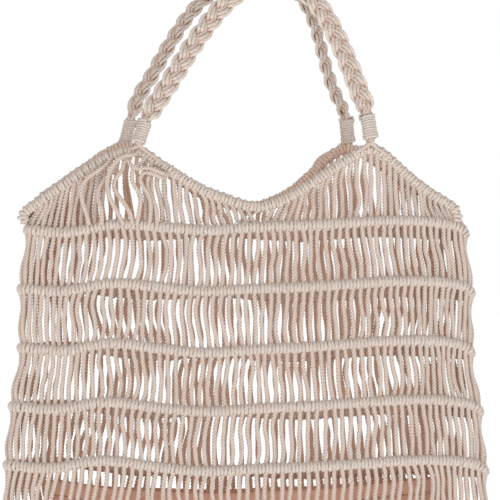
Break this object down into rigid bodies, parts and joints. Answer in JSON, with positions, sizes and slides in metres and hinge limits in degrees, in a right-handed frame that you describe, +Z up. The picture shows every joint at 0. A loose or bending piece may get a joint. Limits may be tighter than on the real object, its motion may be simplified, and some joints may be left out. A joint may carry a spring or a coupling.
{
  "type": "mesh produce bag",
  "caption": "Knotted cotton cord net bag with rows of hitches, peaked rims, two braided handles on whipped wraps, and a loose leather pouch inside.",
  "frame": {"origin": "the hang point, under the tops of both handles, where a hook or hand bears", "axes": "+Z up, along the pull of the handles; -Y out of the bag's front; +X to the right across the bag, seen from its front"},
  "size_m": [0.392, 0.0786, 0.5482],
  "materials": {
    "net_cord": "twisted cotton",
    "row_knots": "knotted cotton",
    "rim_knots": "knotted cotton",
    "holding_cord": "twisted cotton",
    "whipping": "whipped cotton",
    "handle_braid": "braided cotton",
    "leather": "smooth matt",
    "leather_hem": "smooth matt"
  },
  "bodies": {
    "net": {"row_1_hitches": "row_knots", "row_1_holding_cord": "holding_cord", "row_2_hitches": "row_knots", "row_2_holding_cord": "holding_cord", "row_3_hitches": "row_knots", "row_3_holding_cord": "holding_cord", "row_4_hitches": "row_knots", "row_4_holding_cord": "holding_cord", "row_5_hitches": "row_knots", "row_5_holding_cord": "holding_cord", "row_6_hitches": "row_knots", "row_6_holding_cord": "holding_cord", "row_7_hitches": "row_knots", "row_7_holding_cord": "holding_cord", "bottom_seam_hitches": "row_knots", "bottom_seam_holding_cord": "holding_cord", "front_rim_hitches": "rim_knots", "front_rim_holding_cord": "holding_cord", "front_fan_cords": "net_cord", "front_base_cords": "net_cord", "front_cords_1": "net_cord", "front_cords_2": "net_cord", "front_cords_3": "net_cord", "front_cords_4": "net_cord", "front_cords_5": "net_cord", "front_cords_6": "net_cord", "back_rim_hitches": "rim_knots", "back_rim_holding_cord": "holding_cord", "back_fan_cords": "net_cord", "back_base_cords": "net_cord", "back_cords_1": "net_cord", "back_cords_2": "net_cord", "back_cords_3": "net_cord", "back_cords_4": "net_cord", "back_cords_5": "net_cord", "back_cords_6": "net_cord"},
    "front_wraps": {"front_left_wrap": "whipping", "front_left_wrap_core": "holding_cord", "front_right_wrap": "whipping", "front_right_wrap_core": "holding_cord"},
    "front_handle": {"front_braid": "handle_braid"},
    "back_wraps": {"back_left_wrap": "whipping", "back_left_wrap_core": "holding_cord", "back_right_wrap": "whipping", "back_right_wrap_core": "holding_cord"},
    "back_handle": {"back_braid": "handle_braid"},
    "pouch": {"pouch_front_panel": "leather", "pouch_back_panel": "leather", "pouch_base": "leather", "pouch_hem": "leather_hem"}
  },
  "joints": [
    {"name": "front_wrap_fold", "type": "hinge", "parent": "net", "child": "front_wraps", "pos_m": [-0.0095, -0.026, -0.1155], "axis": [1, 0, 0], "range_deg": [0, 90]},
    {"name": "front_handle_fold", "type": "hinge", "parent": "front_wraps", "child": "front_handle", "pos_m": [-0.0095, -0.02295, -0.09458], "axis": [1, 0, 0], "range_deg": [0, 90]},
    {"name": "back_wrap_fold", "type": "hinge", "parent": "net", "child": "back_wraps", "pos_m": [-0.0165, 0.026, -0.1155], "axis": [-1, 0, 0], "range_deg": [0, 90]},
    {"name": "back_handle_fold", "type": "hinge", "parent": "back_wraps", "child": "back_handle", "pos_m": [-0.0165, 0.02295, -0.09458], "axis": [-1, 0, 0], "range_deg": [0, 90]},
    {"name": "pouch_slide", "type": "slide", "parent": "net", "child": "pouch", "axis": [0, 0, 1], "range_m": [0, 0.25]}
  ],
  "couplings": [
    {"joint": "front_handle_fold", "follows": "front_wrap_fold", "ratio": 1},
    {"joint": "back_handle_fold", "follows": "back_wrap_fold", "ratio": 1}
  ]
}
